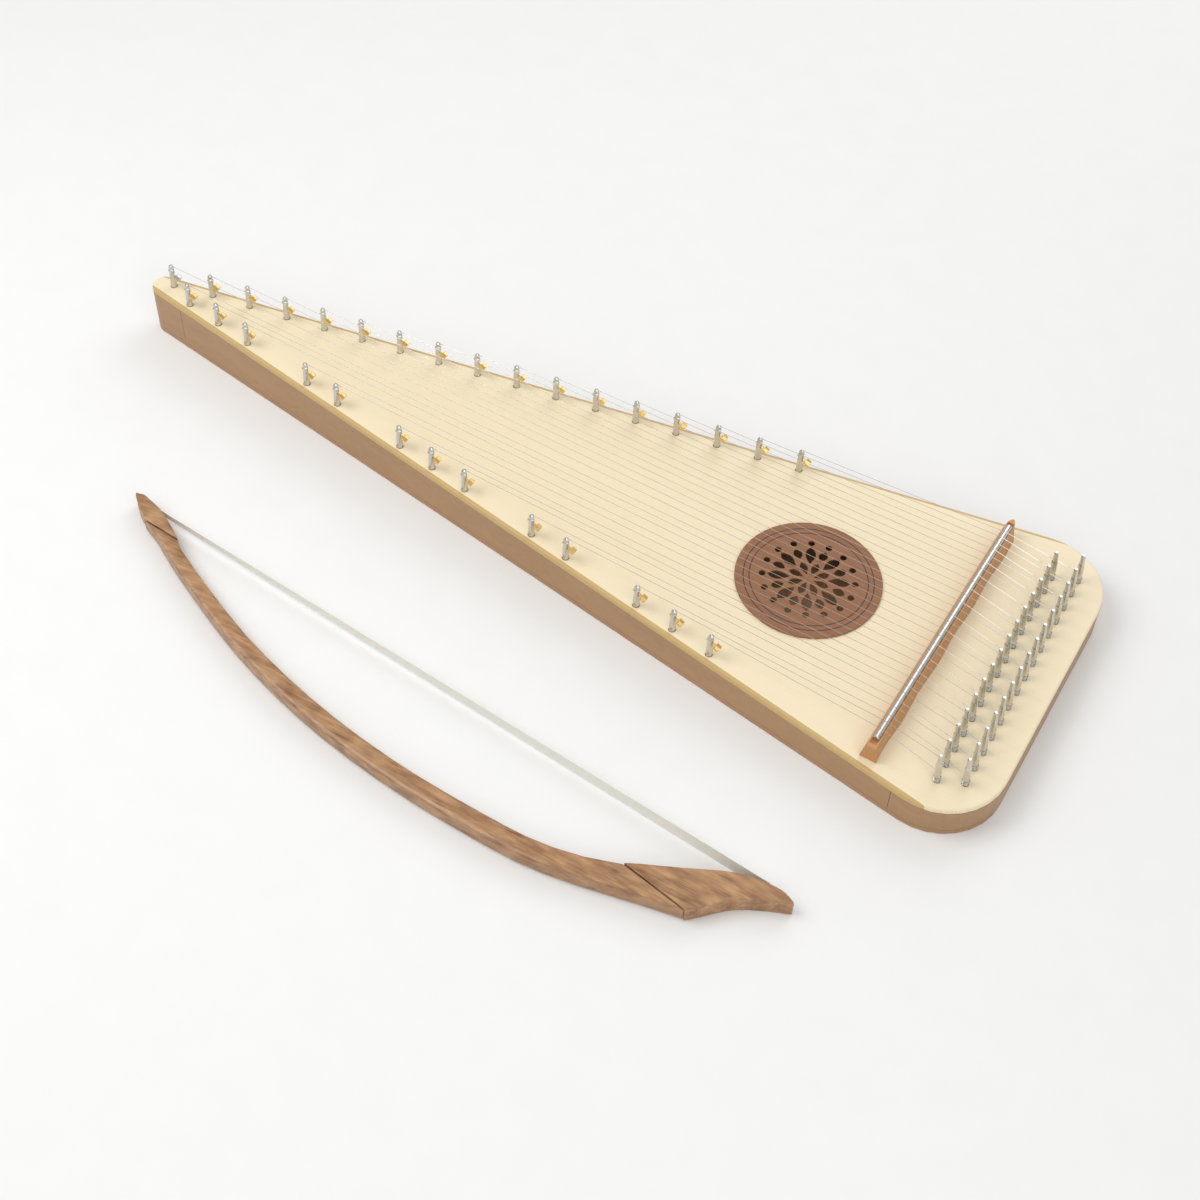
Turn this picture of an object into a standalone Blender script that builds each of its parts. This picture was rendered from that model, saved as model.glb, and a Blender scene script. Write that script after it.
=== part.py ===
"""A thirty-string bowed psaltery with fine tuners, and the bow that lies beside it.

Units are metres and +Z is up. The flat back rests on z = 0 with the origin at the middle of its
length. +X runs from the nose to the tuning pins, and +Y is the side with seventeen hitch posts.
"""

import math

import bmesh
import bpy
import numpy as np
from mathutils import Matrix, Vector

# Clearances
GAP = 0.0003
HOLE_GAP = 0.00035

# Outline of the box, seen from above
LENGTH = 0.8244
SIDE_ANGLE = math.radians(9.73)
NOSE_RADIUS = 0.0103
CORNER_RADIUS = 0.050

# Depth of the box, which tapers from nose to tail
MID_DEPTH = 0.03803
TILT = math.radians(1.2)
TOP_THICKNESS = 0.0045
TOP_EDGE_RADIUS = 0.0015
BACK_THICKNESS = 0.0040
RAIL_THICKNESS = 0.0150
PIN_BLOCK_LENGTH = 0.0680
BRACE_WIDTH = 0.0080
BRACE_HEIGHT = 0.0120
BRACE_X = (0.115, 0.290)

# Hitch posts, a regular row on the far side and a stepped row on the near side
POST_EDGE_DISTANCE = 0.00749
POST_DEPTH = 0.0160
FAR_POST_COUNT = 16
FAR_POST_FIRST_X = -0.3588
FAR_POST_PITCH = 0.03415
NEAR_POST_STEPS = (0, 1, 2, 4, 5, 7, 8, 9, 11, 12, 14, 15, 16)
NEAR_POST_FIRST_X = -0.3682
NEAR_POST_PITCH = 0.0342
NOSE_POST_X = -0.3937
NOSE_POST_Y = 0.0027
POST_FOOT_RADIUS = 0.00275
POST_TOP_RADIUS = 0.00235
POST_GROOVE_RADIUS = 0.00195
POST_GROOVE_HEIGHT = 0.0197
POST_HEIGHT = 0.0235
POST_SIDES = 8

# Fine-tuner screws, one through each post
TUNER_TILT = math.radians(27.5)
TUNER_HEIGHT = 0.0150
TUNER_HEAD_RADIUS = 0.0031
TUNER_HEAD_START = 0.0047
TUNER_HEAD_LENGTH = 0.0041
TUNER_SHANK_RADIUS = 0.00115
TUNER_TIP_REACH = 0.0036
TUNER_SIDES = 8

# Tuning pins in two staggered rows
PIN_ROW_X = (0.3872, 0.3685)
PIN_FIRST_Y = (0.1092, 0.1013)
PIN_PITCH = 0.0155
PINS_PER_ROW = 15
PIN_LEAN = math.radians(4.25)
PIN_RADIUS = 0.0025
PIN_HEIGHT = 0.0295
PIN_DEPTH = 0.0200
PIN_SQUARE_HEIGHT = 0.0105
PIN_SQUARE_HALF = 0.00185
PIN_TAPER = 0.00025
PIN_EYE_HEIGHT = 0.0100
PIN_EYE_WIDTH = 0.0015
PIN_EYE_TALL = 0.0024
PIN_SIDES = 8

# Bridge, a tapered bar with a steel rod bedded in its crest
BRIDGE_X = 0.3213
BRIDGE_TURN = math.radians(-0.974)
BRIDGE_NEAR_Y = -0.1255
BRIDGE_FAR_Y = 0.1270
BRIDGE_FOOT_HALF = 0.0068
BRIDGE_CREST_HALF = 0.0037
BRIDGE_HEIGHT = 0.0156
BRIDGE_END_ROUND = 0.0110
BRIDGE_SCALLOP = 0.0013
BRIDGE_FOOT_PITCH = 0.0608
BRIDGE_FOOT_OFFSET = 0.0417
ROD_RADIUS = 0.0024
ROD_HEIGHT = 0.0160
ROD_NEAR_Y = -0.1176
ROD_FAR_Y = 0.1180
GROOVE_END_ROOM = 0.0045
ROD_SIDES = 12

# Strings
STRING_RADIUS = 0.00023
STRING_PIN_HEIGHT = 0.0060
STRING_BITE = 0.00012

# Rosette and the sound hole under it
ROSETTE_X = 0.2104
ROSETTE_RADIUS = 0.0567
ROSETTE_THICKNESS = 0.0014
SOUND_HOLE_RADIUS = 0.0420
ROSETTE_OPEN_RADIUS = 0.0400
ROSETTE_FOLDS = 8
ROSETTE_SIDES = 48

# Bow, lying on its side: s runs along the hair and t across it, towards the box
BOW_ORIGIN = (-0.2707, -0.1827)
BOW_TURN = math.radians(-5.65)
BOW_THICKNESS = 0.0150
BOW_EDGE_RADIUS = 0.0034
BOW_GLUE_GAP = 0.0003
HAIR_THICKNESS = 0.0008
HAIR_TIP_WIDTH = 0.0054
HAIR_HEEL_WIDTH = 0.0136
HAIR_TIP = (-0.0025, 0.0000)
HAIR_HEEL = (0.5755, -0.0020)
# stations of the stick: place along s, middle across t, width
STICK_STATIONS = (
    (0.0190, -0.0168, 0.0116),
    (0.0600, -0.0339, 0.0118),
    (0.1400, -0.0608, 0.0128),
    (0.2200, -0.0772, 0.0142),
    (0.3000, -0.0839, 0.0147),
    (0.3800, -0.0821, 0.0154),
    (0.4400, -0.0751, 0.0160),
    (0.5135, -0.0518, 0.0200),
)
# outline of the tip block from the stick round the point and back along the hair side
TIP_GLUE_START = (0.0005, -0.0168)
TIP_GLUE_END = (0.0370, -0.0168)
TIP_OUTER = ((-0.0017, -0.0148), (-0.0115, -0.0103), (-0.0180, -0.0058), (-0.0240, -0.0010))
TIP_INNER = ((-0.0206, 0.0003), (-0.0167, 0.0019), (-0.0102, 0.0008), (0.0032, -0.0018), (0.0205, -0.0086))
# outline of the heel block from the stick along the hair side, round the end and back
HEEL_GLUE_INNER = (0.4860, -0.0490)
HEEL_GLUE_OUTER = (0.5413, -0.0544)
HEEL_INNER = ((0.4960, -0.0426), (0.5200, -0.0286), (0.5430, -0.0143), (0.5620, -0.0057), (0.5805, -0.0025), (0.5890, -0.0028))
HEEL_END = ((0.5970, -0.0056), (0.5977, -0.0070))
HEEL_OUTER = ((0.5870, -0.0125), (0.5720, -0.0214), (0.5600, -0.0314), (0.5480, -0.0465))


def clear_scene():
    for held in list(bpy.data.objects):
        bpy.data.objects.remove(held)


def material(name, colour, roughness, metallic=0.0):
    made = bpy.data.materials.new(name)
    made.use_nodes = True
    shader = made.node_tree.nodes["Principled BSDF"]
    shader.inputs["Base Color"].default_value = (*colour, 1.0)
    shader.inputs["Roughness"].default_value = roughness
    shader.inputs["Metallic"].default_value = metallic
    made.diffuse_color = (*colour, 1.0)
    return made


def empty(name, location, rotation, parent=None):
    made = bpy.data.objects.new(name, None)
    made.empty_display_size = 0.02
    made.location = location
    made.rotation_euler = rotation
    made.parent = parent
    bpy.context.scene.collection.objects.link(made)
    return made


def place(name, mesh, look, parent=None, location=(0, 0, 0), rotation=(0, 0, 0), smooth=False):
    if look and not mesh.materials:
        mesh.materials.append(look)
    if smooth:
        mesh.shade_smooth()
        mesh.set_sharp_from_angle(angle=math.radians(35))
    made = bpy.data.objects.new(name, mesh)
    made.location = location
    made.rotation_euler = rotation
    made.parent = parent
    bpy.context.scene.collection.objects.link(made)
    return made


def helper(name, mesh, parent=None, location=(0, 0, 0), rotation=(0, 0, 0)):
    """A hidden shape that a Boolean uses."""
    made = place(name, mesh, None, parent, location, rotation)
    made.hide_render = True
    made.display_type = "WIRE"
    return made


def boolean(target, tool, operation):
    modifier = target.modifiers.new(tool.name, "BOOLEAN")
    modifier.object = tool
    modifier.operation = operation
    modifier.solver = "EXACT"


def lofted(bm, rings):
    """A closed skin through rings of equal point count, capped at both ends."""
    made = [[bm.verts.new(point) for point in ring] for ring in rings]
    count = len(made[0])
    for low, high in zip(made, made[1:]):
        for i in range(count):
            j = (i + 1) % count
            bm.faces.new((low[i], low[j], high[j], high[i]))
    bm.faces.new(reversed(made[0]))
    bm.faces.new(made[-1])


def mesh_of(name, *ring_sets, matrix=None):
    """One mesh of closed lofts, its faces turned outwards."""
    bm = bmesh.new()
    for rings in ring_sets:
        lofted(bm, rings)
    bmesh.ops.recalc_face_normals(bm, faces=bm.faces)
    if matrix is not None:
        bm.transform(matrix)
    mesh = bpy.data.meshes.new(name)
    bm.to_mesh(mesh)
    bm.free()
    return mesh


def prism(outline, low, high):
    """Rings of an upright prism. low and high are heights, or functions of x that give them."""
    low_of = low if callable(low) else lambda x: low
    high_of = high if callable(high) else lambda x: high
    return [[(x, y, low_of(x)) for x, y in outline], [(x, y, high_of(x)) for x, y in outline]]


def turned(profile, sides, centre=(0.0, 0.0), lean=0.0):
    """Rings of a turned shape: profile holds radius and height pairs from bottom to top."""
    rings = []
    for radius, height in profile:
        ring = []
        for i in range(sides):
            angle = 2 * math.pi * (i + 0.5) / sides
            x = radius * math.cos(angle)
            y = radius * math.sin(angle)
            ring.append((centre[0] + x * math.cos(lean) - height * math.sin(lean), centre[1] + y, x * math.sin(lean) + height * math.cos(lean)))
        rings.append(ring)
    return rings


def arc(centre, radius, start, end, steps):
    angles = np.linspace(start, end, steps + 1)
    return [(centre[0] + radius * math.cos(a), centre[1] + radius * math.sin(a)) for a in angles]


def smooth_curve(points, steps):
    """A Catmull-Rom curve through points, with steps segments between neighbours."""
    p = np.array(points, float)
    p = np.vstack([2 * p[0] - p[1], p, 2 * p[-1] - p[-2]])
    made = []
    for i in range(1, len(p) - 2):
        for u in np.arange(steps) / steps:
            a = -0.5 * p[i - 1] + 1.5 * p[i] - 1.5 * p[i + 1] + 0.5 * p[i + 2]
            b = p[i - 1] - 2.5 * p[i] + 2 * p[i + 1] - 0.5 * p[i + 2]
            c = 0.5 * (p[i + 1] - p[i - 1])
            made.append(tuple(a * u**3 + b * u**2 + c * u + p[i]))
    made.append(tuple(p[-2]))
    return made


# Outline

NOSE_CENTRE_X = -LENGTH / 2 + NOSE_RADIUS
CORNER_X = LENGTH / 2 - CORNER_RADIUS


def half_width(x):
    """Half the width of the box at x, where its sides are straight."""
    return (x - NOSE_CENTRE_X) * math.tan(SIDE_ANGLE) + NOSE_RADIUS / math.cos(SIDE_ANGLE)


CORNER_Y = half_width(CORNER_X) - CORNER_RADIUS / math.cos(SIDE_ANGLE)


def box_outline(inset):
    """The whole outline, counter-clockwise from the near side, moved inwards by inset."""
    quarter = math.pi / 2
    near = arc((CORNER_X, -CORNER_Y), CORNER_RADIUS - inset, 3 * quarter - SIDE_ANGLE, 4 * quarter, 8)
    far = arc((CORNER_X, CORNER_Y), CORNER_RADIUS - inset, 0, quarter + SIDE_ANGLE, 8)
    nose = arc((NOSE_CENTRE_X, 0), NOSE_RADIUS - inset, quarter + SIDE_ANGLE, 3 * quarter - SIDE_ANGLE, 8)
    return near + far + nose


def top_underside(x):
    """Height of the soundboard's underside, less its clearance."""
    return MID_DEPTH - x * math.tan(TILT) - (TOP_THICKNESS + GAP) / math.cos(TILT)


clear_scene()
spruce = material("spruce", (0.86, 0.76, 0.55), 0.42)
body_wood = material("body_wood", (0.40, 0.22, 0.11), 0.45)
block_wood = material("block_wood", (0.62, 0.45, 0.27), 0.6)
bridge_wood = material("bridge_wood", (0.52, 0.22, 0.08), 0.4)
rosette_wood = material("rosette_wood", (0.30, 0.12, 0.06), 0.5)
nickel = material("nickel", (0.66, 0.65, 0.62), 0.22, 1.0)
brass = material("brass", (0.80, 0.55, 0.20), 0.2, 1.0)
bow_wood = material("bow_wood", (0.42, 0.20, 0.10), 0.4)
hair_white = material("hair_white", (0.80, 0.80, 0.74), 0.6)

plane = empty("soundboard_plane", (0, 0, MID_DEPTH), (0, TILT, 0))
plane_matrix = Matrix.Translation((0, 0, MID_DEPTH)) @ Matrix.Rotation(TILT, 4, "Y")

# Places of the posts and pins, listed string by string from the far side to the near side
far_posts = []
for i in range(FAR_POST_COUNT):
    x = FAR_POST_FIRST_X + i * FAR_POST_PITCH
    far_posts.append((x, half_width(x) - POST_EDGE_DISTANCE))
near_posts = []
for step in NEAR_POST_STEPS:
    x = NEAR_POST_FIRST_X + step * NEAR_POST_PITCH
    near_posts.append((x, POST_EDGE_DISTANCE - half_width(x)))
nose_post = (NOSE_POST_X, NOSE_POST_Y)
pins = []
for i in range(PINS_PER_ROW):
    for row in (0, 1):
        pins.append((PIN_ROW_X[row], PIN_FIRST_Y[row] - i * PIN_PITCH))
posts = far_posts[::-1] + [nose_post] + near_posts

# Back board
back_rings = prism(box_outline(0), 0, BACK_THICKNESS)
place("back_board", mesh_of("back_board", back_rings), body_wood)

# Soundboard with a rounded upper edge, a sound hole, and a hole for every post and pin
edge = [(0.0, -TOP_THICKNESS), (0.0, -TOP_EDGE_RADIUS)]
for turn in (30, 60, 90):
    inset = TOP_EDGE_RADIUS * (1 - math.cos(math.radians(turn)))
    edge.append((inset, TOP_EDGE_RADIUS * (math.sin(math.radians(turn)) - 1)))
top_rings = [[(x, y, height) for x, y in box_outline(inset)] for inset, height in edge]
soundboard = place("soundboard", mesh_of("soundboard", top_rings), spruce, plane)
HOLE_REACH = 2 * TOP_THICKNESS
post_hole = POST_FOOT_RADIUS + HOLE_GAP
pin_hole = PIN_RADIUS + HOLE_GAP
cuts = [turned(((post_hole, -HOLE_REACH), (post_hole, HOLE_REACH)), POST_SIDES, at) for at in posts]
cuts += [turned(((pin_hole, -HOLE_REACH), (pin_hole, HOLE_REACH)), PIN_SIDES, at, PIN_LEAN) for at in pins]
cuts.append(turned(((SOUND_HOLE_RADIUS, -HOLE_REACH), (SOUND_HOLE_RADIUS, HOLE_REACH)), ROSETTE_SIDES, (ROSETTE_X, 0)))
boolean(soundboard, helper("soundboard_holes", mesh_of("soundboard_holes", *cuts), plane), "DIFFERENCE")

# Frame of the box: nose block, pin block, two rails and two braces
BLOCK_FLOOR = BACK_THICKNESS + GAP
BLOCK_X = LENGTH / 2 - PIN_BLOCK_LENGTH
RAIL_X = (RAIL_THICKNESS + GAP / 2 - NOSE_RADIUS / math.cos(SIDE_ANGLE)) / math.tan(SIDE_ANGLE) + NOSE_CENTRE_X
whole = box_outline(0)
nose_x = RAIL_X - GAP
nose_outline = [(nose_x, -half_width(nose_x)), (nose_x, half_width(nose_x))] + whole[-9:]
nose_block = place("nose_block", mesh_of("nose_block", prism(nose_outline, BLOCK_FLOOR, top_underside)), body_wood)
tail_outline = [(BLOCK_X, half_width(BLOCK_X)), (BLOCK_X, -half_width(BLOCK_X))] + whole[:18]
pin_block = place("pin_block", mesh_of("pin_block", prism(tail_outline, BLOCK_FLOOR, top_underside)), body_wood)
bores = [turned(((pin_hole, -PIN_DEPTH - GAP), (pin_hole, HOLE_REACH)), PIN_SIDES, at, PIN_LEAN) for at in pins]
boolean(pin_block, helper("pin_bores", mesh_of("pin_bores", *bores), plane), "DIFFERENCE")
rails = {}
for side, name in ((-1, "rail_near"), (1, "rail_far")):
    end_x = BLOCK_X - GAP
    rail_outline = [
        (RAIL_X, side * half_width(RAIL_X)),
        (RAIL_X, side * (half_width(RAIL_X) - RAIL_THICKNESS)),
        (end_x, side * (half_width(end_x) - RAIL_THICKNESS)),
        (end_x, side * half_width(end_x)),
    ]
    rails[name] = place(name, mesh_of(name, prism(rail_outline, BLOCK_FLOOR, top_underside)), body_wood)
for number, x in enumerate(BRACE_X, 1):
    ends = [x - BRACE_WIDTH / 2, x + BRACE_WIDTH / 2]
    reach = [half_width(e) - RAIL_THICKNESS - GAP / math.cos(SIDE_ANGLE) for e in ends]
    brace_outline = [(ends[0], -reach[0]), (ends[1], -reach[1]), (ends[1], reach[1]), (ends[0], reach[0])]
    brace_rings = prism(brace_outline, lambda x: top_underside(x) - BRACE_HEIGHT, top_underside)
    place(f"brace_{number}", mesh_of(f"brace_{number}", brace_rings), block_wood)

# Hitch posts: a tapered shaft, a string groove and a domed head
POST_PROFILE = (
    (POST_FOOT_RADIUS, -POST_DEPTH),
    (POST_FOOT_RADIUS, 0.0),
    (POST_TOP_RADIUS, POST_GROOVE_HEIGHT - 0.0009),
    (POST_GROOVE_RADIUS, POST_GROOVE_HEIGHT - 0.0004),
    (POST_GROOVE_RADIUS, POST_GROOVE_HEIGHT + 0.0004),
    (POST_TOP_RADIUS, POST_GROOVE_HEIGHT + 0.0009),
    (0.78 * POST_TOP_RADIUS, POST_HEIGHT - 0.0012),
    (0.25 * POST_TOP_RADIUS, POST_HEIGHT),
)


def post_rings(at):
    return turned(POST_PROFILE, POST_SIDES, at)


# Fine-tuner screws: a cylindrical head on the bridge side and a shank that crosses the post
TUNER_HEAD_END = TUNER_HEAD_START + TUNER_HEAD_LENGTH
TUNER_PROFILE = (
    (0.6 * TUNER_SHANK_RADIUS, -TUNER_TIP_REACH),
    (TUNER_SHANK_RADIUS, 0.0004 - TUNER_TIP_REACH),
    (TUNER_SHANK_RADIUS, TUNER_HEAD_START),
    (TUNER_HEAD_RADIUS - 0.0004, TUNER_HEAD_START),
    (TUNER_HEAD_RADIUS, TUNER_HEAD_START + 0.0004),
    (TUNER_HEAD_RADIUS, TUNER_HEAD_END - 0.0004),
    (TUNER_HEAD_RADIUS - 0.0004, TUNER_HEAD_END),
)
TUNER_TURN = (0, math.pi / 2 + TUNER_TILT, 0)


def tuner_matrix(at):
    return Matrix.Translation((at[0], at[1], TUNER_HEIGHT)) @ Matrix.Rotation(TUNER_TURN[1], 4, "Y")


def moved(rings, matrix):
    return [[tuple(matrix @ Vector(point)) for point in ring] for ring in rings]


near_tool = helper("near_posts", mesh_of("near_posts", *[post_rings(at) for at in near_posts]), plane)
boolean(rails["rail_near"], near_tool, "UNION")
tuner_hole = TUNER_SHANK_RADIUS + HOLE_GAP
hole_profile = ((tuner_hole, -2 * POST_FOOT_RADIUS), (tuner_hole, 2 * POST_FOOT_RADIUS))
tuner_holes = [moved(turned(hole_profile, TUNER_SIDES), tuner_matrix(at)) for at in near_posts]
boolean(rails["rail_near"], helper("tuner_holes", mesh_of("tuner_holes", *tuner_holes), plane), "DIFFERENCE")
far_tool = helper("far_posts", mesh_of("far_posts", *[post_rings(at) for at in far_posts]), plane)
boolean(rails["rail_far"], far_tool, "UNION")
far_screws = [moved(turned(TUNER_PROFILE, TUNER_SIDES), tuner_matrix(at)) for at in far_posts]
boolean(rails["rail_far"], helper("far_tuners", mesh_of("far_tuners", *far_screws), plane), "UNION")
nose_tool = helper("nose_post", mesh_of("nose_post", post_rings(nose_post)), plane)
boolean(nose_block, nose_tool, "UNION")
nose_screw = moved(turned(TUNER_PROFILE, TUNER_SIDES), tuner_matrix(nose_post))
boolean(nose_block, helper("nose_tuner", mesh_of("nose_tuner", nose_screw), plane), "UNION")
tuner_mesh = mesh_of("fine_tuner", turned(TUNER_PROFILE, TUNER_SIDES))
for number, (x, y) in enumerate(near_posts, 1):
    place(f"fine_tuner_{number:02d}", tuner_mesh, brass, plane, (x, y, TUNER_HEIGHT), TUNER_TURN, smooth=True)

# Tuning pins: a round shaft, a square tapered head with a domed end, and a string eye
square_foot = PIN_HEIGHT - PIN_SQUARE_HEIGHT


def pin_ring(height, square, radius, half):
    """A ring of eight points, from round to square as square goes from 0 to 1."""
    ring = []
    for i in range(PIN_SIDES):
        angle = 2 * math.pi * (i + 0.5) / PIN_SIDES
        x = math.cos(angle)
        y = math.sin(angle)
        reach = half / max(abs(x), abs(y))
        scale = radius * (1 - square) + reach * square
        ring.append((x * scale, y * scale, height))
    return ring


pin_rings = [
    pin_ring(-PIN_DEPTH, 0, PIN_RADIUS - 0.0004, 0),
    pin_ring(0.0006 - PIN_DEPTH, 0, PIN_RADIUS, 0),
    pin_ring(square_foot, 0, PIN_RADIUS, 0),
    pin_ring(square_foot + 0.0014, 1, 0, PIN_SQUARE_HALF),
    pin_ring(PIN_HEIGHT - 0.0012, 1, 0, PIN_SQUARE_HALF - PIN_TAPER),
    pin_ring(PIN_HEIGHT, 1, 0, 0.6 * PIN_SQUARE_HALF),
]
pin_mesh = mesh_of("tuning_pin", pin_rings)
eye_half = (PIN_EYE_WIDTH / 2, PIN_EYE_TALL / 2)
eye_ring = [(0, -eye_half[0], PIN_EYE_HEIGHT), (0, 0, PIN_EYE_HEIGHT - eye_half[1]), (0, eye_half[0], PIN_EYE_HEIGHT), (0, 0, PIN_EYE_HEIGHT + eye_half[1])]
eye_rings = [[(x, py, pz) for _, py, pz in eye_ring] for x in (-2 * PIN_RADIUS, 2 * PIN_RADIUS)]
pin_eyes = mesh_of("pin_eye", eye_rings)
for number, (x, y) in enumerate(pins, 1):
    pin = place(f"tuning_pin_{number:02d}", pin_mesh, nickel, plane, (x, y, 0), (0, -PIN_LEAN, 0), smooth=True)
    eye = helper(f"pin_eye_{number:02d}", pin_eyes, plane, (x, y, 0), (0, -PIN_LEAN, 0))
    boolean(pin, eye, "DIFFERENCE")

# Bridge bar: its tail face stands out at four feet and is drawn in between them
bridge = empty("bridge_line", (BRIDGE_X, 0, 0), (0, 0, BRIDGE_TURN), plane)


def bridge_section(y):
    """The bar's cross-section at y, narrowed where the far end is rounded."""
    from_end = BRIDGE_FAR_Y - y
    round_off = math.sqrt(max(0.02, 1 - max(0.0, 1 - from_end / BRIDGE_END_ROUND) ** 2))
    wave = 0.5 - 0.5 * math.cos(2 * math.pi * (y - BRIDGE_FOOT_OFFSET) / BRIDGE_FOOT_PITCH)
    if not BRIDGE_NEAR_Y + 0.008 < y < BRIDGE_FAR_Y - 0.008:
        wave = 0.0
    foot = BRIDGE_FOOT_HALF * round_off
    crest = BRIDGE_CREST_HALF * round_off
    drawn = foot - BRIDGE_SCALLOP * wave
    knee = crest + (foot - crest) * 0.45
    return [(-foot, y, GAP), (drawn, y, GAP), (knee, y, 0.55 * BRIDGE_HEIGHT), (crest, y, BRIDGE_HEIGHT), (-crest, y, BRIDGE_HEIGHT)]


steps = list(np.linspace(BRIDGE_NEAR_Y, BRIDGE_FAR_Y - BRIDGE_END_ROUND, 25))
steps += [BRIDGE_FAR_Y - BRIDGE_END_ROUND * share for share in (0.6, 0.3, 0.12, 0.0)]
bridge_base = place("bridge_base", mesh_of("bridge_base", [bridge_section(y) for y in steps]), bridge_wood, bridge)
upright = Matrix.Rotation(-math.pi / 2, 4, "X")
groove = ROD_RADIUS + GAP / math.cos(math.pi / ROD_SIDES)
groove_profile = ((groove, ROD_NEAR_Y - GROOVE_END_ROOM), (groove, ROD_FAR_Y + GROOVE_END_ROOM))
groove_mesh = mesh_of("rod_groove", turned(groove_profile, ROD_SIDES), matrix=upright)
boolean(bridge_base, helper("rod_groove", groove_mesh, bridge, (0, 0, ROD_HEIGHT)), "DIFFERENCE")

# Steel rod with the thirty strings that bear on it
rod_profile = (
    (ROD_RADIUS - 0.0004, ROD_NEAR_Y),
    (ROD_RADIUS, ROD_NEAR_Y + 0.0004),
    (ROD_RADIUS, ROD_FAR_Y - 0.0004),
    (ROD_RADIUS - 0.0004, ROD_FAR_Y),
)
rod_mesh = mesh_of("rod", turned(rod_profile, ROD_SIDES), matrix=upright)
rod = place("bridge_rod", rod_mesh, nickel, bridge, (0, 0, ROD_HEIGHT), smooth=True)
rod_crest = ROD_HEIGHT + ROD_RADIUS * math.cos(math.pi / ROD_SIDES)
string_top = rod_crest + STRING_RADIUS - STRING_BITE
post_offset = POST_GROOVE_RADIUS + GAP + STRING_RADIUS
pin_offset = PIN_RADIUS + GAP + STRING_RADIUS
string_sets = []
for (post_x, post_y), (pin_x, pin_y) in zip(posts, pins):
    start = Vector((post_x, post_y + post_offset, POST_GROOVE_HEIGHT))
    end = Vector((pin_x - STRING_PIN_HEIGHT * math.tan(PIN_LEAN), pin_y + pin_offset, STRING_PIN_HEIGHT))
    slope = (end.y - start.y) / (end.x - start.x)
    line = -math.tan(BRIDGE_TURN)
    cross_x = (BRIDGE_X + line * (start.y - slope * start.x)) / (1 - line * slope)
    cross = Vector((cross_x, start.y + slope * (cross_x - start.x), string_top))
    rings = []
    for point in (start, cross, end):
        corners = ((1, 0), (0, 1), (-1, 0), (0, -1))
        rings.append([(point.x, point.y + STRING_RADIUS * a, point.z + STRING_RADIUS * b) for a, b in corners])
    string_sets.append(rings)
boolean(rod, helper("strings", mesh_of("strings", *string_sets), plane), "UNION")

# Rosette: a thin disc over the sound hole with three rings of pierced work
rosette_profile = ((ROSETTE_RADIUS, 0), (ROSETTE_RADIUS, ROSETTE_THICKNESS - 0.0003), (ROSETTE_RADIUS - 0.0003, ROSETTE_THICKNESS))
rosette_mesh = mesh_of("rosette", turned(rosette_profile, ROSETTE_SIDES))
rosette = place("rosette", rosette_mesh, rosette_wood, plane, (ROSETTE_X, 0, GAP))


def petal(inner, outer, spread, turn, steps=5):
    """A leaf-shaped opening between two radii, spread radians wide to each side of turn."""
    share = np.linspace(0, 1, steps + 2)[1:-1]
    up = [(inner + (outer - inner) * u, turn + spread * math.sin(math.pi * u) ** 0.8) for u in share]
    down = [(inner + (outer - inner) * u, turn - spread * math.sin(math.pi * u) ** 0.8) for u in share]
    around = [(inner, turn)] + down + [(outer, turn)] + up[::-1]
    return [(r * math.cos(a), r * math.sin(a)) for r, a in around]


pierced = []
fold = 2 * math.pi / ROSETTE_FOLDS
for i in range(ROSETTE_FOLDS):
    pierced.append(petal(0.10 * ROSETTE_OPEN_RADIUS, 0.42 * ROSETTE_OPEN_RADIUS, 0.34 * fold, i * fold))
    pierced.append(petal(0.36 * ROSETTE_OPEN_RADIUS, 0.80 * ROSETTE_OPEN_RADIUS, 0.22 * fold, (i + 0.5) * fold))
    pierced.append(petal(0.50 * ROSETTE_OPEN_RADIUS, 0.76 * ROSETTE_OPEN_RADIUS, 0.18 * fold, i * fold))
    for part in (0.0, 0.5):
        spot = (i + part) * fold
        middle = (0.89 * ROSETTE_OPEN_RADIUS * math.cos(spot), 0.89 * ROSETTE_OPEN_RADIUS * math.sin(spot))
        pierced.append(arc(middle, 0.07 * ROSETTE_OPEN_RADIUS, 0, 2 * math.pi * 7 / 8, 7))
pierced_mesh = mesh_of("rosette_piercing", *[prism(shape, -ROSETTE_THICKNESS, 2 * ROSETTE_THICKNESS) for shape in pierced])
boolean(rosette, helper("rosette_piercing", pierced_mesh, plane, (ROSETTE_X, 0, GAP)), "DIFFERENCE")

# Bow: curved stick, tip block, heel block and a twisted ribbon of hair
bow = empty("bow_place", (*BOW_ORIGIN, 0), (0, 0, BOW_TURN))


def slab(name, outline, look):
    """An upright slab of the bow's thickness with rounded edges."""
    edge = BOW_EDGE_RADIUS
    made = place(name, mesh_of(name, prism(outline, 0, BOW_THICKNESS)), look, bow)
    modifier = made.modifiers.new("rounded_edges", "BEVEL")
    modifier.width = edge
    modifier.segments = 2
    modifier.limit_method = "ANGLE"
    modifier.angle_limit = math.radians(60)
    return made


middle = smooth_curve(STICK_STATIONS, 3)
stick_inner = []
stick_outer = []
for i, (s, t, width) in enumerate(middle):
    before = middle[max(i - 1, 0)]
    after = middle[min(i + 1, len(middle) - 1)]
    run = Vector((after[0] - before[0], after[1] - before[1])).normalized()
    across = Vector((-run.y, run.x)) * width / 2
    stick_inner.append((s + across.x, t + across.y))
    stick_outer.append((s - across.x, t - across.y))


def below(points, limit):
    """The points that lie past a limit on s."""
    return [p for p in points if limit(p)]


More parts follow.
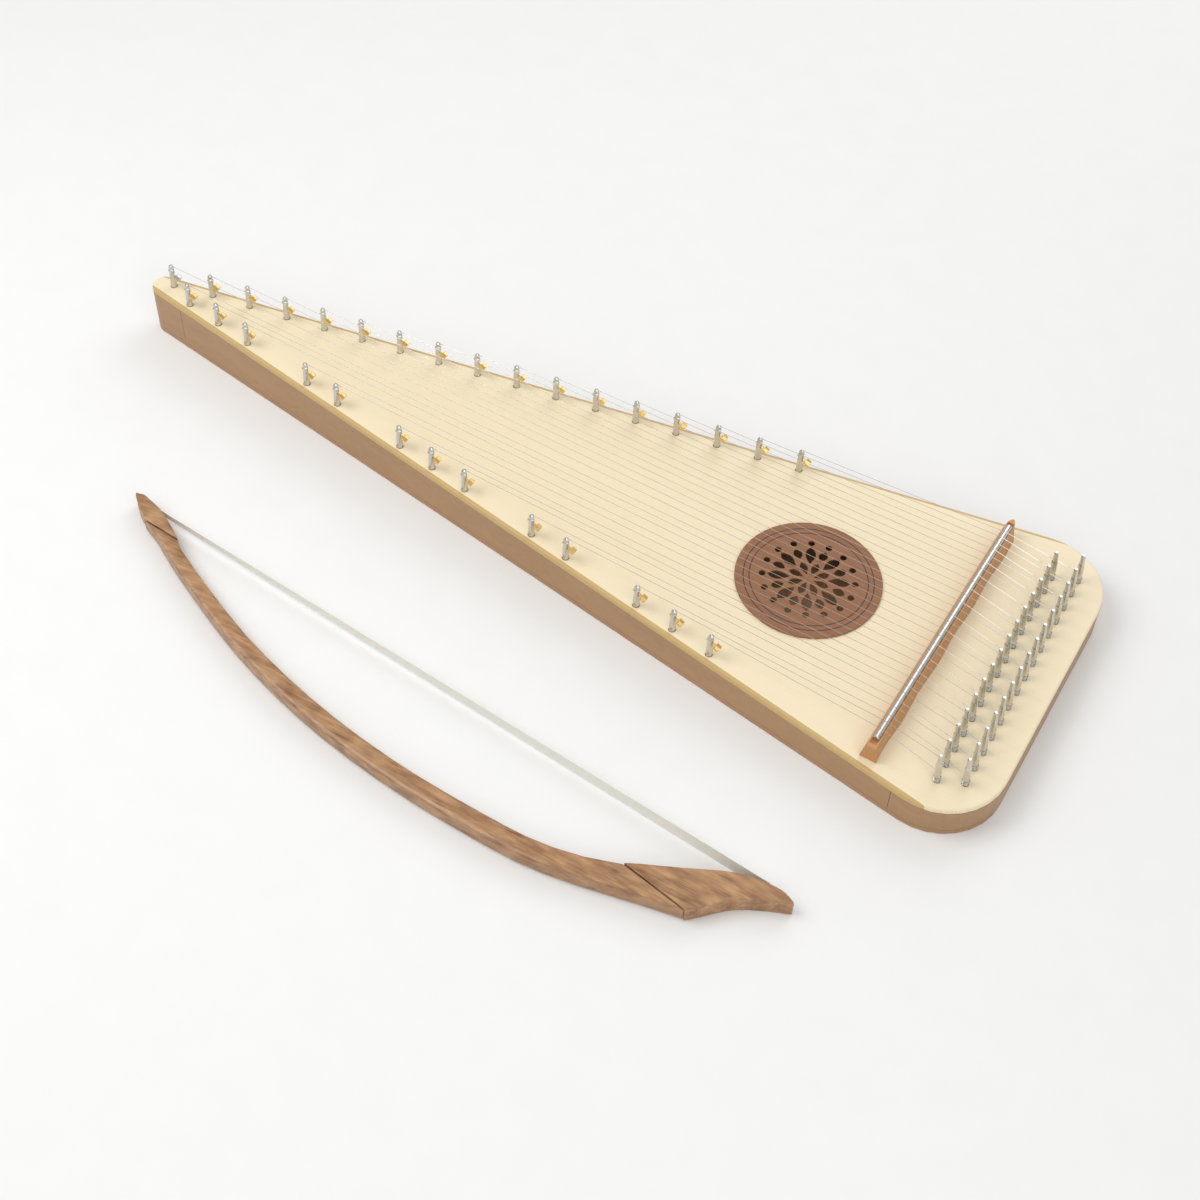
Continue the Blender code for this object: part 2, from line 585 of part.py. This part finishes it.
heel_line = (Vector(HEEL_GLUE_OUTER) - Vector(HEEL_GLUE_INNER)).normalized()
heel_away = Vector((heel_line.y, -heel_line.x)) * BOW_GLUE_GAP
tip_drop = BOW_GLUE_GAP
inner_run = below(stick_inner, lambda p: TIP_GLUE_END[0] + 0.004 < p[0] < HEEL_GLUE_INNER[0] - 0.006)
outer_run = below(stick_outer, lambda p: TIP_GLUE_START[0] + 0.006 < p[0] < HEEL_GLUE_OUTER[0] - 0.010)
stick_outline = [(TIP_GLUE_START[0], TIP_GLUE_START[1] - tip_drop)] + outer_run
stick_outline += [(HEEL_GLUE_OUTER[0] + heel_away.x, HEEL_GLUE_OUTER[1] + heel_away.y)]
stick_outline += [(HEEL_GLUE_INNER[0] + heel_away.x, HEEL_GLUE_INNER[1] + heel_away.y)]
stick_outline += inner_run[::-1] + [(TIP_GLUE_END[0], TIP_GLUE_END[1] - tip_drop)]
slab("bow_stick", stick_outline, bow_wood)
tip_outer = smooth_curve((TIP_GLUE_START,) + TIP_OUTER + TIP_INNER + (TIP_GLUE_END,), 2)
slab("bow_tip", tip_outer, bow_wood)
heel_edge = smooth_curve((HEEL_GLUE_INNER,) + HEEL_INNER + HEEL_END, 2)
heel_edge += smooth_curve(HEEL_OUTER + (HEEL_GLUE_OUTER,), 2)
slab("bow_heel", heel_edge, bow_wood)
hair_rings = []
for (s, t), width in ((HAIR_TIP, HAIR_TIP_WIDTH), (HAIR_HEEL, HAIR_HEEL_WIDTH)):
    low = (BOW_THICKNESS - width) / 2
    high = (BOW_THICKNESS + width) / 2
    half = HAIR_THICKNESS / 2
    hair_rings.append([(s, t - half, low), (s, t + half, low), (s, t + half, high), (s, t - half, high)])
place("bow_hair", mesh_of("bow_hair", hair_rings), hair_white, bow)
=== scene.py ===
import math

import bpy
import numpy as np
from mathutils import Matrix, Vector


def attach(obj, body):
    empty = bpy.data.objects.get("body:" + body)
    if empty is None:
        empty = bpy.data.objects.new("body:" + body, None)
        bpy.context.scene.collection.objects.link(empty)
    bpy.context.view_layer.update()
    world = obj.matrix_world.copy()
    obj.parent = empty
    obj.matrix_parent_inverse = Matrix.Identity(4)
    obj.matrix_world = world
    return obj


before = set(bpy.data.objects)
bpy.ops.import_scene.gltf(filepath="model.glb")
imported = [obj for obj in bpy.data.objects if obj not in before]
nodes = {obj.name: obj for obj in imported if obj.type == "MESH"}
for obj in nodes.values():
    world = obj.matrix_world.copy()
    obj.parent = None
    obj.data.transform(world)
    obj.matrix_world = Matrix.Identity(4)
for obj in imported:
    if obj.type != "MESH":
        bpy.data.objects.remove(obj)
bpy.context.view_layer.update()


# The soundboard is a thin spruce plate with straight grain from nose to tail.
# It slopes 1.2 degrees with the tapering box, and its rounded edge shows as a yellower band.
BOARD_HEIGHT = 0.03803
BOARD_TILT = math.radians(1.2)
SIDE_ANGLE = math.radians(9.73)
NOSE_X = -0.4019
NOSE_RADIUS = 0.0103
EDGE_BAND = 0.0030
RING_SCALE = 190
RING_DRIFT = (0.12, 1, 1)
RING_BEND = 2.2
BOARD_FIBRE = (12, 420, 420)
BOARD_CLOUD = (1.5, 14, 14)
EARLY_WOOD = (0.93, 0.82, 0.60, 1)
LATE_WOOD = (0.80, 0.66, 0.42, 1)
EDGE_WOOD = (0.58, 0.40, 0.16, 1)


class Shade:
    """A socket of a material, on which Python's operators add Math nodes."""

    def __init__(self, tree, socket):
        self.tree = tree
        self.socket = socket

    def node(self, kind, settings, values, out=0):
        made = self.tree.nodes.new(kind)
        for name, value in settings.items():
            setattr(made, name, value)
        for name, value in values.items():
            if isinstance(value, Shade):
                self.tree.links.new(value.socket, made.inputs[name])
            else:
                made.inputs[name].default_value = value
        return Shade(self.tree, made.outputs[out])

    def maths(self, operation, *values):
        return self.node("ShaderNodeMath", {"operation": operation}, dict(enumerate((self, *values))))

    def __add__(self, other):
        return self.maths("ADD", other)

    def __mul__(self, other):
        return self.maths("MULTIPLY", other)

    def __sub__(self, other):
        return self.maths("SUBTRACT", other)

    def __rsub__(self, other):
        return self.maths("MULTIPLY", -1.0).maths("ADD", other)

    __radd__ = __add__
    __rmul__ = __mul__

    def above(self, level):
        """1 where this value is more than level, and 0 elsewhere."""
        return self.maths("GREATER_THAN", level)

    def axes(self):
        """The x, y and z of a place."""
        return [self.node("ShaderNodeSeparateXYZ", {}, {"Vector": self}, axis) for axis in range(3)]

    def stretched(self, scale, turn=0.0):
        values = {"Vector": self, "Scale": scale, "Rotation": (0, 0, turn)}
        return self.node("ShaderNodeMapping", {}, values)

    def noise(self, scale=3.0, detail=3.0):
        return self.node("ShaderNodeTexNoise", {}, {"Vector": self, "Scale": scale, "Detail": detail})

    def blend(self, low, high):
        """Goes from colour low to colour high as this value goes from 0 to 1."""
        factor, first, second, colour = 0, 6, 7, 2
        values = {factor: self, first: low, second: high}
        return self.node("ShaderNodeMix", {"data_type": "RGBA"}, values, colour)

    def feed(self, surface, name):
        self.tree.links.new(self.socket, surface.inputs[name])

    def bump(self, surface, distance, strength):
        values = {"Height": self, "Distance": distance, "Strength": strength}
        self.node("ShaderNodeBump", {}, values).feed(surface, "Normal")


def new_finish(name, roughness, metallic=0.0):
    """A material, its Principled shader, and each point's place."""
    finish = bpy.data.materials.new(name)
    finish.use_nodes = True
    tree = finish.node_tree
    surface = tree.nodes["Principled BSDF"]
    surface.inputs["Roughness"].default_value = roughness
    surface.inputs["Metallic"].default_value = metallic
    place = Shade(tree, tree.nodes.new("ShaderNodeTexCoord").outputs["Object"])
    return finish, surface, place


def dress(name, finish):
    nodes[name].data.materials.clear()
    nodes[name].data.materials.append(finish)


def half_width_at(x):
    """Half the box's width: the way from the nose centre times the sides' slope, plus the nose."""
    return (x - NOSE_X) * math.tan(SIDE_ANGLE) + NOSE_RADIUS / math.cos(SIDE_ANGLE)


spruce, surface, place = new_finish("spruce", 0.38)
x, y, z = place.axes()
waves = {"wave_type": "BANDS", "bands_direction": "Y"}
drift = place.stretched(RING_DRIFT)
bent = {"Vector": drift, "Scale": RING_SCALE, "Distortion": RING_BEND, "Detail": 2.0}
rings = place.node("ShaderNodeTexWave", waves, bent, 1)
fibre = place.stretched(BOARD_FIBRE).noise(detail=5.0)
tone = rings * 0.35 + fibre * 0.4 + place.stretched(BOARD_CLOUD).noise() * 0.25
board = tone.blend(EARLY_WOOD, LATE_WOOD)
to_edge = half_width_at(x) - y.maths("ABSOLUTE")
band = 1 - to_edge.above(EDGE_BAND)
band.blend(board, EDGE_WOOD).feed(surface, "Base Color")
(fibre * 0.15 + 0.30).feed(surface, "Roughness")
rings.bump(surface, 0.00008, 0.25)
dress("soundboard", spruce)


# Rails, nose, tail and back are one brown hardwood, planed smooth and oiled.
# The steel posts are driven into the rails, and a brass screw goes through each one.
POST_RADIUS = 0.0031
FAR_FIRST = -0.3588
FAR_STEP = 0.03415
POST_INSET = 0.00749
BOARD_TOP = 0.0002
RAIL_FIBRE = (9, 260, 260)
RAIL_CLOUD = (2, 22, 22)
RAIL_LIGHT = (0.50, 0.30, 0.15, 1)
RAIL_DARK = (0.30, 0.155, 0.07, 1)
STEEL = (0.62, 0.61, 0.58, 1)
BRASS = (0.83, 0.58, 0.22, 1)


def oiled_wood(place):
    """Long fibres with slow clouds of colour: two stretched noises, and their sum as the tone."""
    fibre = place.stretched(RAIL_FIBRE).noise(detail=6.0)
    cloud = place.stretched(RAIL_CLOUD).noise()
    return fibre, (fibre * 0.6 + cloud * 0.4).blend(RAIL_DARK, RAIL_LIGHT)


def rail_finish(name, screws):
    """Wood below the soundboard's top. Above it steel, and brass outside each post's own radius."""
    finish, surface, place = new_finish(name, 0.4)
    x, y, z = place.axes()
    fibre, wood = oiled_wood(place)
    height = z - BOARD_HEIGHT + x * math.tan(BOARD_TILT)
    metal = height.above(BOARD_TOP)
    along = (x - FAR_FIRST).maths("DIVIDE", FAR_STEP)
    aside = (along - along.maths("ROUND", 0.0)) * FAR_STEP
    across = y - half_width_at(x - aside) + POST_INSET
    apart = (aside * aside + across * across).maths("SQRT")
    brass = apart.above(POST_RADIUS) * screws
    metal.blend(wood, brass.blend(STEEL, BRASS)).feed(surface, "Base Color")
    metal.feed(surface, "Metallic")
    (0.42 - metal * 0.20).feed(surface, "Roughness")
    fibre.bump(surface, 0.0001, 0.2)
    return finish


dress("rail_far", rail_finish("far_rail_wood_and_posts", 1.0))
dress("rail_near", rail_finish("near_rail_wood_and_posts", 0.0))
dress("nose_block", rail_finish("nose_wood_and_post", 0.0))
box_wood, surface, place = new_finish("box_wood", 0.42)
fibre, wood = oiled_wood(place)
wood.feed(surface, "Base Color")
fibre.bump(surface, 0.0001, 0.2)
for name in ("back_board", "pin_block", "brace_1", "brace_2"):
    dress(name, box_wood)


# The bridge is a reddish hardwood bar, and a round steel rod in its crest carries the strings.
# The strings are plain steel wire, but no finish is given to them here.
BRIDGE_FIBRE = (300, 10, 300)
BRIDGE_DARK = (0.42, 0.18, 0.06, 1)
BRIDGE_LIGHT = (0.66, 0.34, 0.14, 1)
STEEL_DARK = (0.56, 0.55, 0.53, 1)
STEEL_LIGHT = (0.74, 0.73, 0.70, 1)
bridge_wood, surface, place = new_finish("bridge_wood", 0.36)
fibre = place.stretched(BRIDGE_FIBRE).noise(detail=6.0)
fibre.blend(BRIDGE_DARK, BRIDGE_LIGHT).feed(surface, "Base Color")
fibre.bump(surface, 0.0001, 0.2)
dress("bridge_base", bridge_wood)
steel, surface, place = new_finish("polished_steel", 0.2, 1.0)
smear = place.noise(900.0, 2.0)
smear.blend(STEEL_DARK, STEEL_LIGHT).feed(surface, "Base Color")
(smear * 0.15 + 0.14).feed(surface, "Roughness")
dress("bridge_rod", steel)


# The rosette is a cut disc of dark wood over the sound hole.
# Two fine rings are turned into its rim, and painted shade darkens their grooves.
ROSETTE_X = 0.2104
INNER_RING = 0.0455
OUTER_RING = 0.0500
GROOVE_HALF = 0.0004
ROSETTE_FIBRE = (10, 240, 240)
ROSETTE_DARK = (0.15, 0.055, 0.022, 1)
ROSETTE_LIGHT = (0.40, 0.175, 0.07, 1)
# Near-black painted shade for the inside of the two turned grooves.
GROOVE_PAINTED_SHADE = (0.06, 0.02, 0.012, 1)


def groove(radius, ring):
    """1 within half a groove's width of the ring's radius, and 0 elsewhere."""
    return 1 - (radius - ring).maths("ABSOLUTE").above(GROOVE_HALF)


rosette_wood, surface, place = new_finish("rosette_wood", 0.45)
x, y, z = place.axes()
fibre = place.stretched(ROSETTE_FIBRE).noise(detail=6.0)
offset = x - ROSETTE_X
radius = (offset * offset + y * y).maths("SQRT")
grooves = groove(radius, INNER_RING) + groove(radius, OUTER_RING)
wood = fibre.blend(ROSETTE_DARK, ROSETTE_LIGHT)
# The grooves get painted shade in place of the wood's colour.
grooves.blend(wood, GROOVE_PAINTED_SHADE).feed(surface, "Base Color")
(fibre * 0.3 - grooves).bump(surface, 0.0003, 0.6)
dress("rosette", rosette_wood)


# Thirty nickel tuning pins, in two rows at the tail. The string's end is wound on each.
# A coil is a helix of wire that climbs the leaning pin.
PINS = 30
PIN_ROWS = ((0.3872, 0.1092), (0.3685, 0.1013))
PIN_STEP = 0.0155
PIN_LEAN = math.radians(4.25)
COIL_RADIUS = 0.00275
COIL_START = 0.0008
COIL_TURNS = 4
COIL_PITCH = 0.0011
COIL_STEPS = 24
WIRE_RADIUS = 0.00022
WIRE_SIDES = 6


def coil_mesh(name, x, y):
    """A tube along a helix: at angle a its centre has climbed the pitch times a, over one full turn."""
    angle = np.linspace(0, 2 * math.pi * COIL_TURNS, COIL_STEPS * COIL_TURNS + 1)
    around = np.linspace(0, 2 * math.pi, WIRE_SIDES, endpoint=False)
    a, b = np.meshgrid(angle, around, indexing="ij")
    reach = COIL_RADIUS + WIRE_RADIUS * np.cos(b)
    climb = COIL_START + COIL_PITCH * a / (2 * math.pi) + WIRE_RADIUS * np.sin(b)
    points = np.stack([reach * np.cos(-a), reach * np.sin(-a), climb], -1).reshape(-1, 3)
    lean = np.array(Matrix.Rotation(-PIN_LEAN, 3, "Y"))
    tilt = np.array(Matrix.Rotation(BOARD_TILT, 3, "Y"))
    points = (points @ lean.T + (x, y, 0)) @ tilt.T + (0, 0, BOARD_HEIGHT)
    i, j = np.meshgrid(np.arange(len(angle) - 1), np.arange(WIRE_SIDES), indexing="ij")
    corner = i * WIRE_SIDES + j
    beside = i * WIRE_SIDES + (j + 1) % WIRE_SIDES
    quads = [corner, corner + WIRE_SIDES, beside + WIRE_SIDES, beside]
    faces = np.stack(quads, -1).reshape(-1, 4).tolist()
    last = WIRE_SIDES * (len(angle) - 1)
    faces += [list(range(WIRE_SIDES)), [last + k for k in reversed(range(WIRE_SIDES))]]
    mesh = bpy.data.meshes.new(name)
    mesh.from_pydata(points.tolist(), [], faces)
    mesh.shade_smooth()
    return mesh


for k in range(PINS):
    row_x, first_y = PIN_ROWS[k % 2]
    body = f"tuning_pin_{k + 1:02d}"
    dress(body, steel)
    name = f"string_coil_{k + 1:02d}"
    coil = bpy.data.objects.new(name, coil_mesh(name, row_x, first_y - (k // 2) * PIN_STEP))
    bpy.context.scene.collection.objects.link(coil)
    coil.data.materials.append(steel)
    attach(coil, body)


# Brass fine-tuner screws, turned from rod and slightly dulled by handling.
# Each passes through its post, with its head towards the bridge.
NEAR_TUNERS = 13
BRASS_DARK = (0.72, 0.46, 0.15, 1)
BRASS_LIGHT = (0.88, 0.64, 0.28, 1)
turned_brass, surface, place = new_finish("turned_brass", 0.25, 1.0)
smear = place.noise(700.0)
smear.blend(BRASS_DARK, BRASS_LIGHT).feed(surface, "Base Color")
(smear * 0.2 + 0.16).feed(surface, "Roughness")
for k in range(NEAR_TUNERS):
    dress(f"fine_tuner_{k + 1:02d}", turned_brass)


# The bow is a bent stick of mottled reddish wood with glued end blocks.
# Pale horsehair is stretched between the ends, and each hair runs along the bow.
BOW_TURN = math.radians(5.65)
BOW_FIBRE = (14, 330, 330)
BOW_SPOTS = (30, 90, 90)
BOW_DARK = (0.20, 0.085, 0.034, 1)
BOW_LIGHT = (0.55, 0.32, 0.16, 1)
HAIR_STRANDS = (3, 1800, 1800)
HAIR_DARK = (0.70, 0.70, 0.63, 1)
HAIR_LIGHT = (0.93, 0.93, 0.87, 1)
bow_wood, surface, place = new_finish("bow_wood", 0.34)
fibre = place.stretched(BOW_FIBRE, BOW_TURN).noise(detail=6.0)
spots = place.stretched(BOW_SPOTS, BOW_TURN).noise(2.0, 2.0)
tone = fibre * 1.1 + spots * 1.5 - 0.8
tone.blend(BOW_DARK, BOW_LIGHT).feed(surface, "Base Color")
fibre.bump(surface, 0.0001, 0.25)
for name in ("bow_stick", "bow_tip", "bow_heel"):
    dress(name, bow_wood)
hair, surface, place = new_finish("horsehair", 0.5)
strands = place.stretched(HAIR_STRANDS, BOW_TURN).noise(2.0)
strands.blend(HAIR_DARK, HAIR_LIGHT).feed(surface, "Base Color")
strands.bump(surface, 0.0002, 0.6)
dress("bow_hair", hair)


# The floor is a pale matt sheet, just below the box and the bow.
# Three soft lamps and an even sky light it.
FLOOR_REACH = 6.0
FLOOR_LEVEL = -0.0003
FLOOR_DARK = (0.84, 0.84, 0.83, 1)
FLOOR_LIGHT = (0.87, 0.87, 0.86, 1)
SKY_STRENGTH = 0.55
LAMPS = (
    ("key", (-0.9, -0.6, 1.6), 1.2, 16),
    ("fill", (1.3, -1.1, 1.3), 1.4, 9),
    ("back", (0.2, 1.5, 1.3), 1.4, 9),
)
sides = ((-1, -1), (1, -1), (1, 1), (-1, 1))
corners = [(FLOOR_REACH * a, FLOOR_REACH * b, FLOOR_LEVEL) for a, b in sides]
floor_mesh = bpy.data.meshes.new("floor")
floor_mesh.from_pydata(corners, [], [(0, 1, 2, 3)])
floor = bpy.data.objects.new("floor", floor_mesh)
bpy.context.scene.collection.objects.link(floor)
pale, surface, place = new_finish("pale_floor", 0.8)
place.noise(30.0).blend(FLOOR_DARK, FLOOR_LIGHT).feed(surface, "Base Color")
floor_mesh.materials.append(pale)
for name, spot, size, power in LAMPS:
    light = bpy.data.lights.new(name, "AREA")
    light.size = size
    light.energy = power
    lamp = bpy.data.objects.new(name, light)
    lamp.location = spot
    lamp.rotation_euler = (-Vector(spot)).to_track_quat("-Z", "Y").to_euler()
    bpy.context.scene.collection.objects.link(lamp)
sky = bpy.data.worlds.new("sky")
sky.use_nodes = True
sky.node_tree.nodes["Background"].inputs["Color"].default_value = (1, 1, 1, 1)
sky.node_tree.nodes["Background"].inputs["Strength"].default_value = SKY_STRENGTH
bpy.context.scene.world = sky


# The camera stands in front of the long near side and looks down on it by about 50 degrees.
# Its angles are taken on the soundboard, so the board's own tilt turns them last.
LENS = 58.39
SENSOR_WIDTH = 36
NEAREST = 0.01
EYE = (0.52474, -0.91343, 1.16945)
AZIMUTH = math.radians(27.093)
ELEVATION = math.radians(51.376)
ROLL = math.radians(3.821)
flat = math.cos(ELEVATION)
back = Vector((flat * math.sin(AZIMUTH), -flat * math.cos(AZIMUTH), math.sin(ELEVATION)))
level = Vector((math.cos(AZIMUTH), math.sin(AZIMUTH), 0))
rise = back.cross(level)
right = math.cos(ROLL) * level + math.sin(ROLL) * rise
upward = math.cos(ROLL) * rise - math.sin(ROLL) * level
turned = Matrix.Rotation(BOARD_TILT, 3, "Y") @ Matrix((right, upward, back)).transposed()
lens = bpy.data.cameras.new("camera")
lens.lens = LENS
lens.sensor_width = SENSOR_WIDTH
lens.clip_start = NEAREST
camera = bpy.data.objects.new("camera", lens)
camera.matrix_world = Matrix.Translation(EYE) @ turned.to_4x4()
bpy.context.scene.collection.objects.link(camera)
bpy.context.scene.camera = camera
bpy.context.scene.view_settings.view_transform = "Standard"
